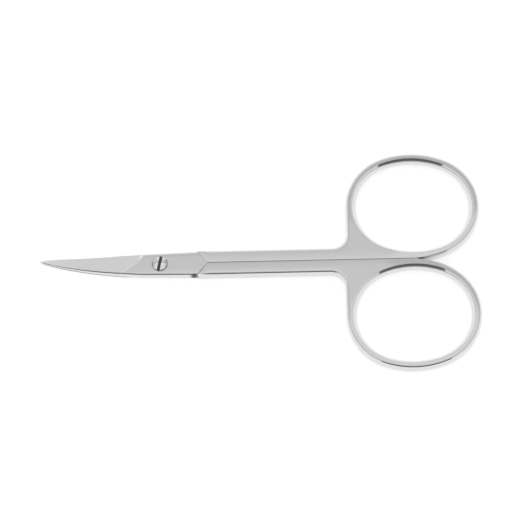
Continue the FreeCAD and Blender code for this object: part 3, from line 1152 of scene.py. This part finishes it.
drawn_at = node(turner, "ShaderNodeSeparateXYZ", {0: drawn.outputs[0]}).outputs
on_thread = maths(turner, "COMPARE", drawn_at["X"], given["Thread Radius"], 0.001 * millimetre)
climb = maths(turner, "SUBTRACT", maths(turner, "DIVIDE", drawn_at["Z"], given["Pitch"]), turn)
wave = maths(turner, "PINGPONG", maths(turner, "MULTIPLY", climb, 2.0), 1.0)
groove = maths(turner, "MULTIPLY", maths(turner, "MULTIPLY", wave, given["Thread Depth"]), on_thread)
radius = maths(turner, "SUBTRACT", drawn_at["X"], groove)
angle = maths(turner, "MULTIPLY", turn, 2 * math.pi)
on_lathe = node(turner, "ShaderNodeCombineXYZ", {
    "X": maths(turner, "MULTIPLY", radius, maths(turner, "COSINE", angle)),
    "Y": maths(turner, "MULTIPLY", radius, maths(turner, "SINE", angle)),
    "Z": drawn_at["Z"],
})
shaped = node(turner, "GeometryNodeSetPosition", {
    "Geometry": sheet.outputs["Mesh"], "Position": on_lathe.outputs[0],
})
round_blank = node(turner, "GeometryNodeMergeByDistance", {
    "Geometry": shaped.outputs[0], "Distance": weld,
})
slot_size = node(turner, "ShaderNodeCombineXYZ", {
    "X": given["Slot Width"], "Y": 8.0 * millimetre,
    "Z": maths(turner, "MULTIPLY", given["Slot Depth"], 2.0),
})
cutter = node(turner, "GeometryNodeMeshCube", {"Size": slot_size.outputs[0]})
slot_spin = node(turner, "ShaderNodeCombineXYZ", {"Z": given["Slot Turn"]})
slot_lift = node(turner, "ShaderNodeCombineXYZ", {"Z": given["Head Top"]})
slot = node(turner, "GeometryNodeTransform", {
    "Geometry": cutter.outputs["Mesh"], "Translation": slot_lift.outputs[0],
})
to_rotation = node(turner, "FunctionNodeEulerToRotation", {0: slot_spin.outputs[0]})
turner.links.new(to_rotation.outputs[0], slot.inputs["Rotation"])
cut = node(turner, "GeometryNodeMeshBoolean", {
    "Mesh 1": round_blank.outputs[0], "Mesh 2": slot.outputs[0],
}, operation="DIFFERENCE", solver="MANIFOLD")
close_tree(turner, cut.outputs["Mesh"], given["Material"])
print("turning tree", len(turner.nodes), "nodes")

# %% The screw
profile_mesh = bpy.data.meshes.new("screw_profile")
profile_mesh.from_pydata(
    (np.column_stack([profile[:, 0], 0 * profile[:, 0], profile[:, 1]]) * millimetre).tolist(), [], []
)
screw = new_object("screw_blank", profile_mesh)
thread_depth, pitch = 0.16, 0.35
slot_width, slot_depth, slot_turn = 0.62, 0.5, math.radians(-13.0)
geometry_nodes(
    screw, turner, sides=round_sides, thread_radius=thread_radius * millimetre,
    thread_depth=thread_depth * millimetre, pitch=pitch * millimetre,
    slot_width=slot_width * millimetre, slot_depth=slot_depth * millimetre,
    head_top=crown_z * millimetre, slot_turn=slot_turn, material=polished_steel,
)
screw = settled("pivot_screw_steel", screw)
work = bmesh.new()
work.from_mesh(screw.data)
bmesh.ops.recalc_face_normals(work, faces=work.faces)
work.to_mesh(screw.data)
work.free()
points = read_rows(screw.data, "co") / millimetre
across = np.minimum(np.hypot(points[:, 0], points[:, 1]), head_radius)
# Painted shade: points sunk below the dome inside the slot get a mask that darkens their colour.
sunk = np.clip((dome_height(across) - points[:, 2]) / 0.1, 0, 1) * (points[:, 2] > seat + rim_round)
in_slot = sunk * (np.abs(points[:, :2] @ (math.cos(slot_turn), math.sin(slot_turn))) < slot_width)
store(screw.data, "painted_shade", in_slot)
place_mesh(screw.data, turned_over=False)
screw.data.shade_smooth()
screw.data.set_sharp_from_angle(angle=sharp_angle)
screw.modifiers.new("even", "WEIGHTED_NORMAL").keep_sharp = True
screw = settled("pivot_screw_steel", screw)
print("screw", len(screw.data.polygons), "faces, open edges", open_edges(screw.data))

# %% [markdown]
# ## Hand over
# Each finished mesh replaces its solid and rides on that solid's body. The screw stays with the
# back half, where its thread holds.

# %% Ride and replace
for piece, solid, body, finish in (
    (front, "front_half", "front_half", "satin_steel"),
    (back, "back_half", "back_half", "satin_steel"),
    (screw, "pivot_screw", "back_half", "polished_steel"),
):
    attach(piece, body)
    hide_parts(solid)
    print(piece.name, "rides on", body)
